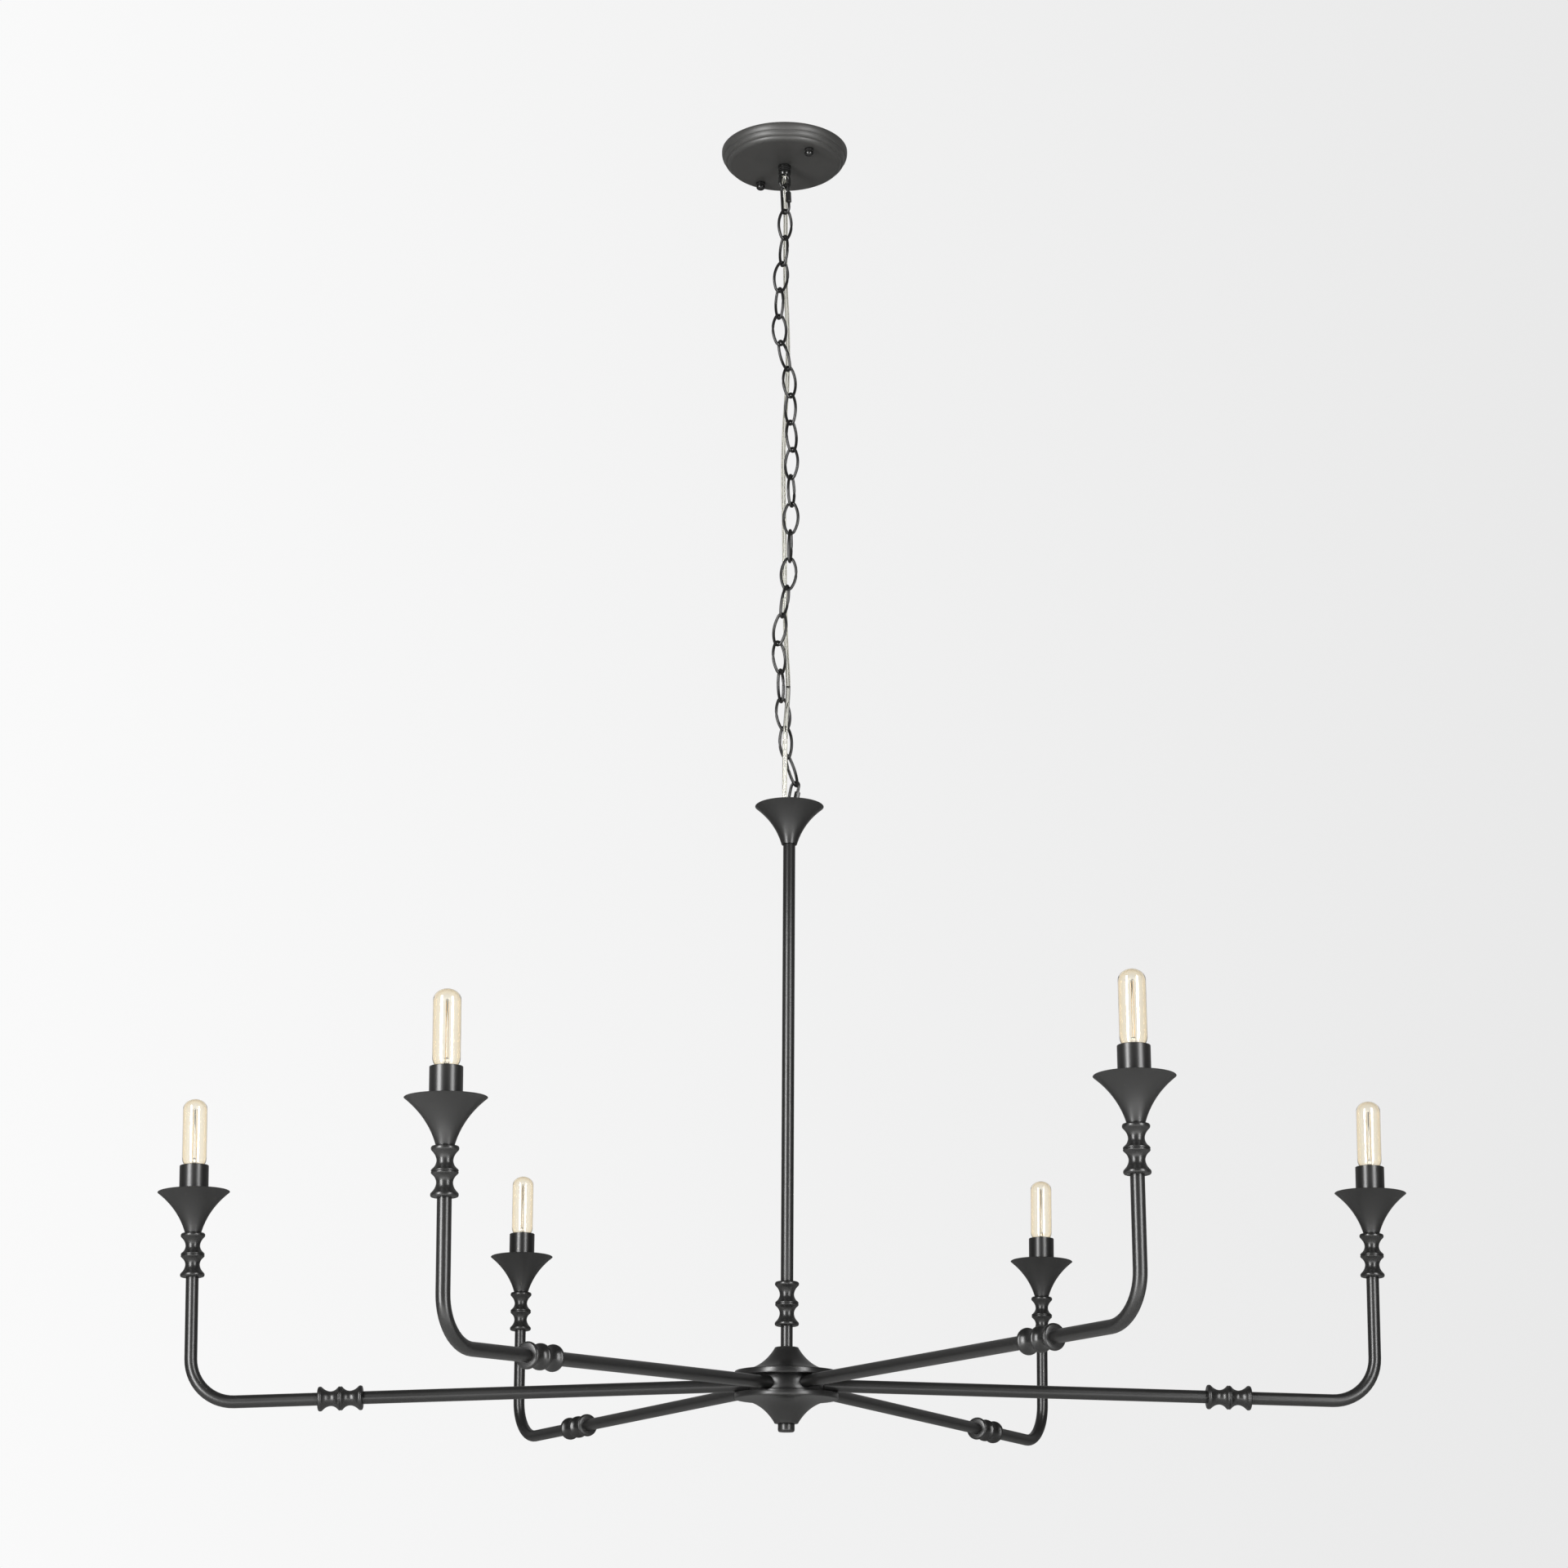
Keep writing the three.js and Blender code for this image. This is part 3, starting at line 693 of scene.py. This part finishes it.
# ---- quick links and chain
quickShape = {"wire": 2.0, "halfWidth": 7, "halfLength": 22, "gap": 4, "nutRadius": 4.05}
bendHeight = quickShape["halfLength"] - quickShape["halfWidth"]
quickMoves = [
    ("run", (0, 0, bendHeight - quickShape["gap"])),
    ("bend", (0, 0, bendHeight), -180, 16),
    ("run", (0, 0, -2 * bendHeight)),
    ("bend", (0, 0, -bendHeight), -180, 16),
    ("run", (0, 0, bendHeight - quickShape["gap"])),
]
for name in ("quick_link_top", "quick_link_bottom"):
    short = name.replace("quick_link", "quickLink")
    mesh = bmesh.new()
    addWire(
        mesh, (quickShape["halfWidth"], 0, quickShape["gap"]), quickShape["wire"], 16,
        quickMoves,
    )
    finishPiece(
        mesh, short, hangingPlaces[name], "chainBlack", name, [name], soften=0.3,
    )
    low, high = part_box(name + "_nut")
    nutHalf = quickShape["nutHalf"] = 7.75
    mesh = bmesh.new()
    radius = quickShape["nutRadius"]
    addTurned(
        mesh,
        [(2.6, -nutHalf), (radius - 0.4, -nutHalf), (radius, -nutHalf + 0.7),
         (radius, nutHalf - 0.7), (radius - 0.4, nutHalf), (2.6, nutHalf)],
        6, closed=True, place=Matrix.Translation((quickShape["halfWidth"], 0, 0)),
    )
    finishPiece(
        mesh, short + "Nut", hangingPlaces[name], "chainBlack", name + "_nut",
        [name + "_nut"], soften=0.22, smooth=25,
    )

# An oval of four arcs: tight ends and long shallow sides
linkShape = {"wire": 2.0, "halfWidth": 10.25, "halfLength": 22.45, "endRadius": 6.0}
endRadius = linkShape["endRadius"]
reach = linkShape["halfLength"] - endRadius
sideRadius = (
    linkShape["halfWidth"] ** 2 + reach ** 2 - endRadius ** 2
) / (2 * (linkShape["halfWidth"] - endRadius))
sideCentre = sideRadius - linkShape["halfWidth"]
sideAngle = math.degrees(math.atan2(reach, sideCentre))
endAngle = 180 - 2 * sideAngle
linkMoves = [
    ("bend", (-sideCentre, 0, 0), -sideAngle, 6),
    ("bend", (0, 0, reach), -endAngle, 12),
    ("bend", (sideCentre, 0, 0), -2 * sideAngle, 12),
    ("bend", (0, 0, -reach), -endAngle, 12),
    ("bend", (-sideCentre, 0, 0), -sideAngle, 6),
]
for number, name in enumerate(linkNames):
    mesh = bmesh.new()
    addWire(
        mesh, (linkShape["halfWidth"], 0, 0), linkShape["wire"], 12, linkMoves, closed=True,
    )
    # the butt where the bent wire's ends meet, pinched in a little
    side = -1 if number % 3 else 1
    seam = [v for v in mesh.verts if v.co.x * side > 6 and abs(v.co.z) < 0.4]
    centre = Vector((side * linkShape["halfWidth"], 0, 0))
    bmesh.ops.scale(
        mesh, verts=seam, vec=(0.8, 0.8, 1), space=Matrix.Translation(-centre),
    )
    finishPiece(
        mesh, "chainLink_%02d" % (number + 1), hangingPlaces[name], "chainBlack",
        name, [name],
    )
print("chain made")

# ---- turned shapes that the stem and the arms share
cupShape = {
    "rim": 45.5, "waist": 18.8, "waistDepth": 21.4, "foot": 10.2, "height": 52, "wall": 1.3,
}
cupOuter = curvePoints(
    (cupShape["rim"], 52), (cupShape["waist"], 52 - cupShape["waistDepth"]),
    (cupShape["foot"], 0), 26,
)[::-1]


# Trumpet cup from its foot, as a thin shell with a rounded rim and a hole in its floor
def cupProfile(foot, floor, hole):
    wall = cupShape["wall"]
    outside = [(radius, foot + height) for radius, height in cupOuter]
    inside = [(radius - wall, foot + height) for radius, height in cupOuter if height > floor]
    rim = [(cupShape["rim"] - 0.35, foot + 52.35), (cupShape["rim"] - 0.95, foot + 52.3)]
    return [
        (hole, foot), *outside, *rim, *inside[::-1][1:],
        (inside[0][0] - 0.4, foot + floor), (hole, foot + floor),
    ]


# One turned spool from its outer end: rolled lip, hollow neck, shoulder, fine groove
halfSpool = [
    (8.0, 0), (13.0, 0), (14.4, 0.5), (15.2, 1.6), (15.4, 3.0), (15.1, 4.4), (14.3, 5.4),
    *curvePoints((14.3, 5.4), (9.3, 10.2), (9.1, 16.2), 10)[1:],
    *curvePoints((9.1, 16.2), (9.4, 21.6), (14.0, 25.2), 9)[1:],
    (14.8, 26.2), (15.0, 27.0), (14.7, 27.7), (14.0, 28.0),
]


def spoolProfile(foot):
    lower = [(radius, foot + height) for radius, height in halfSpool]
    upper = [(radius, foot + 56 - height) for radius, height in reversed(halfSpool)]
    return lower + upper[1:]


# ---- stem and hub
lampJoint = Vector(joints["lamp_swing"]["pos_m"])
stemUp = middleOf("stem_tube") - middleOf("hub_core")
lampPlace = placeAt(lampJoint, stemUp, (1, 0, 0))
lampZ = lampPlace.inverted()


def heightOf(node, which):
    low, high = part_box(node)
    middle = (low + high) / 2
    middle.z = (low, high)[which].z
    return (lampZ @ middle).z


def makeLampPiece(mesh, name, paint, stands, soften=0.0):
    return finishPiece(
        mesh, name, lampPlace, paint, "lamp", stands, soften=soften,
    )


cupFoot = heightOf("stem_tube", 1) + 0.3
mesh = bmesh.new()
stemEye = {**eyeShape, "turn": 40}
addEye(
    mesh, stemEye, -5.9,
    [(4.7, -13.9), (5.8, -13.9), (6.2, -14.3), (6.2, cupFoot + 21.5), (4.7, cupFoot + 21.5)],
    [(4.7, cupFoot + 6.5), (6.2, cupFoot + 6.5), (6.2, cupFoot - 22), (4.7, cupFoot - 22)],
)
for side in (-1, 1):  # the two cheeks beside the cord's way in
    counts = len(mesh.verts), len(mesh.faces)
    bmesh.ops.create_cube(mesh, size=1)
    cheek = Matrix.Translation((side * 5.4, 1.2, cupFoot + 14)) @ Matrix.Diagonal(
        (1.3, 4.2, 15.2, 1)
    )
    settleNew(mesh, *counts, cheek, 0)
makeLampPiece(mesh, "stemLoop", "satinBlack", ["stem_eye"], soften=0.2)

mesh = bmesh.new()
addTurned(mesh, cupProfile(cupFoot, 6, 6.5), 72, closed=True)
makeLampPiece(mesh, "stemCup", "satinBlack", ["stem_cup"])

knuckleTop, knuckleFoot = heightOf("stem_knuckle", 1), heightOf("stem_knuckle", 0)
mesh = bmesh.new()
tubeTop = cupFoot - 0.3
addTurned(
    mesh, [(6.5, knuckleTop + 0.3), (8, knuckleTop + 0.3), (8, tubeTop), (6.5, tubeTop)],
    40, closed=True,
)
makeLampPiece(mesh, "stemTube", "satinBlack", ["stem_tube"], soften=0.3)
mesh = bmesh.new()
addTurned(mesh, spoolProfile(knuckleTop - 56), 48, closed=True)
makeLampPiece(mesh, "stemKnuckle", "satinBlack", ["stem_knuckle"])
bandTop = heightOf("stem_lower_tube", 0) - 0.3
mesh = bmesh.new()
lowerTop = knuckleTop - 0.3
addTurned(
    mesh, [(5.9, bandTop + 0.3), (7.6, bandTop + 0.3), (7.6, lowerTop), (5.9, lowerTop)],
    40, closed=True,
)
makeLampPiece(mesh, "lowerStem", "satinBlack", ["stem_lower_tube"], soften=0.3)

hubShape = {"rim": 65.4, "top": 15.5, "gap": 20, "band": 7.5, "height": 37.5, "core": 47}
capOutline = [
    (64.4, 0), (65.2, 0.5), (65.4, 1.4), (65.4, 6.2), (65.0, 7.1), (64.0, 7.6),
    *curvePoints((63.4, 7.7), (33, 8), (15.6, 35.6), 22)[1:],
    (15.3, 36.6), (14.6, 37.3), (13.8, 37.5),
]
mesh = bmesh.new()
addTurned(
    mesh, [(7.9, 0), *capOutline, (7.9, 37.5)], 80, closed=True,
    place=Matrix.Translation((0, 0, bandTop)),
)
makeLampPiece(mesh, "hubTopCap", "satinBlack", ["hub_upper_cap"])
gapLow = bandTop - hubShape["gap"]
mesh = bmesh.new()
addTurned(
    mesh, [(0, 0), *capOutline, (0, 37.5)], 80,
    place=Matrix.Translation((0, 0, gapLow)) @ Matrix.Diagonal((1, 1, -1, 1)),
)
makeLampPiece(mesh, "hubBottomCap", "satinBlack", ["hub_lower_cap"])
mesh = bmesh.new()
addTurned(
    mesh, [(0, gapLow + 0.3), (47, gapLow + 0.3), (47, bandTop - 0.3), (0, bandTop - 0.3)],
    72,
)
makeLampPiece(mesh, "hubCore", "satinBlack", ["hub_core"], soften=0.5)
finialTop = heightOf("finial", 1)
mesh = bmesh.new()
addTurned(
    mesh,
    [(0, finialTop), (10.4, finialTop), (10.6, finialTop - 0.4), (10.6, finialTop - 7.6),
     (10.1, finialTop - 9.2), (9.0, finialTop - 10), (0, finialTop - 10)],
    48,
)
makeLampPiece(mesh, "finialNut", "satinBlack", ["finial"])
print("stem and hub made")

# ---- arms, cups, sleeves and bulbs
armShape = {
    "tube": 8, "reach": 746, "elbow": 55, "foot": 47.3, "lyingKnuckle": 531,
    "risingKnuckle": 157,
}
sleeveShape = {"radius": 18.4, "bore": 16.2, "top": 299, "floor": 258}
bulbShape = {"radius": 15.4, "top": 384.6, "base": 12.8}
candleFoot = armShape["risingKnuckle"] + 56
armMoves = [
    ("run", (0, 0, armShape["elbow"] - candleFoot + 0.3)),
    ("bend", (armShape["reach"] - armShape["elbow"], 0, armShape["elbow"]), 90, 14),
    ("run", (armShape["foot"] - armShape["reach"] + armShape["elbow"], 0, 0)),
]
bulbOutline = [
    (11.6, 286), (11.7, 292), (11.9, 297), (12.6, 300.5),
    *curvePoints((12.6, 300.5), (15.3, 303.4), (15.4, 309), 6)[1:],
    (15.4, 330), (15.4, 350), (15.4, 371),
    *archPoints((0, 372), 15.4, 12.6, 8, 90, 14),
]
armsOf = [name[len("bulb_"):] for name in nodes if name.startswith("bulb_")]
hubMiddle = middleOf("hub_core")
for armName in sorted(armsOf):
    up = Vector(joints["bulb_" + armName + "_lift"]["axis"]).normalized()
    bulbMiddle = middleOf("bulb_" + armName)
    outward = bulbMiddle - hubMiddle
    outward = (outward - up * outward.dot(up)).normalized()
    top = max(vert.co.dot(up) for vert in nodes["bulb_" + armName].data.vertices)
    onAxis = bulbMiddle + up * (top - bulbMiddle.dot(up))
    foot = onAxis - up * bulbShape["top"] * mm - outward * armShape["reach"] * mm
    armPlace = placeAt(foot, up, outward)
    candlePlace = armPlace @ Matrix.Translation((armShape["reach"], 0, 0))

    mesh = bmesh.new()
    addWire(
        mesh, (armShape["reach"], 0, candleFoot - 0.3), armShape["tube"], 28, armMoves,
    )
    lying = Matrix.Translation((armShape["lyingKnuckle"], 0, 0)) @ Matrix.Rotation(
        math.pi / 2, 4, "Y"
    )
    addTurned(mesh, spoolProfile(0), 36, closed=True, place=lying)
    rising = Matrix.Translation((armShape["reach"], 0, armShape["risingKnuckle"]))
    addTurned(
        mesh, spoolProfile(0), 36, closed=True, place=rising @ Matrix.Diagonal((1, 1, 0.994, 1)),
    )
    finishPiece(
        mesh, "arm_" + armName + "_tube", armPlace, "satinBlack", "lamp",
        ["arm_" + armName],
    )

    mesh = bmesh.new()
    addTurned(mesh, cupProfile(candleFoot, 5, 4), 64, closed=True)
    bore, radius, sleeveTop = (sleeveShape[key] for key in ("bore", "radius", "top"))
    addTurned(
        mesh,
        [(bore, 237), (radius, 237), (radius, sleeveTop - 0.5), (radius - 0.5, sleeveTop),
         (bore + 0.4, sleeveTop), (bore, sleeveTop - 0.4)],
        48, closed=True,
    )
    addTurned(  # the lamp holder's collar inside the sleeve
        mesh,
        [(13.2, 262), (15.9, 262), (15.9, 291), (15.4, 292), (13.6, 292), (13.2, 291.4)],
        36, closed=True, layer=1,
    )
    finishPiece(
        mesh, "cup_" + armName, candlePlace, ["satinBlack", "holderBlack"], "lamp",
        ["candle_cup_" + armName],
    )

    mesh = bmesh.new()
    inside = [(max(radius - 0.9, 0), height - 0.7) for radius, height in bulbOutline]
    addTurned(mesh, bulbOutline[::-1] + inside, 48)
    finishPiece(
        mesh, "bulbGlass_" + armName, candlePlace, "amberGlass",
        "bulb_" + armName, ["bulb_" + armName], smooth=60,
    )
    mesh = bmesh.new()
    thread = [(11.2, 262)]
    for turn in range(6):
        height = 264 + turn * 3.4
        thread += [(11.2, height), (12.4, height + 1.1), (12.4, height + 1.9), (11.2, height + 3)]
    addTurned(mesh, [(0, 259.5), (4, 260), *thread, (11.2, 286.4), (0, 286.4)], 32, layer=0)
    addTurned(  # glass foot and its flattened press
        mesh,
        [(0, 288), (7.2, 288), (6.2, 293), (3.6, 299), (2.4, 303), (2.6, 308), (0, 309)],
        20, layer=1,
    )
    addTurned(mesh, [(0, 309.5), (0.9, 309.5), (0.8, 371), (0, 372)], 10, layer=1)
    for side in (-1, 1):
        strip = Matrix.Translation((side * 2.3, 0.4, 0))
        addTurned(
            mesh, [(0, 305), (0.34, 305.3), (0.34, 370.7), (0, 371)], 8, place=strip, layer=2,
        )
        addWire(
            mesh, (side * 2.3, 0.4, 298), 0.28, 6,
            [("run", (0, 0, 7.4))], layer=3,
        )
        addWire(
            mesh, (side * 2.3, 0.4, 370.7), 0.26, 6,
            [("run", (0, 0, 1)), ("bend", (side * 1.15, 0.4, 371.7), -side * 180, 6)], layer=3,
        )
        addWire(
            mesh, (side * 4.4, 0, 297), 0.3, 6,
            [("run", (0, 0, 6)), ("bend", (side * 3.0, 0, 303), -side * 150, 6)], layer=3,
        )
    finishPiece(
        mesh, "bulbInside_" + armName, candlePlace,
        ["nickelShell", "clearGlass", "coiledFilament", "supportWire"],
        "bulb_" + armName,
    )
print("arms made")

# ---- floor
bpy.ops.mesh.primitive_grid_add(
    x_subdivisions=8, y_subdivisions=8, size=room["floorSize"],
    location=(0, 0, room["floorZ"]),
)
floor = bpy.context.object
floor.name = "floor"
floor.data.materials.append(finishes["paleFloor"])
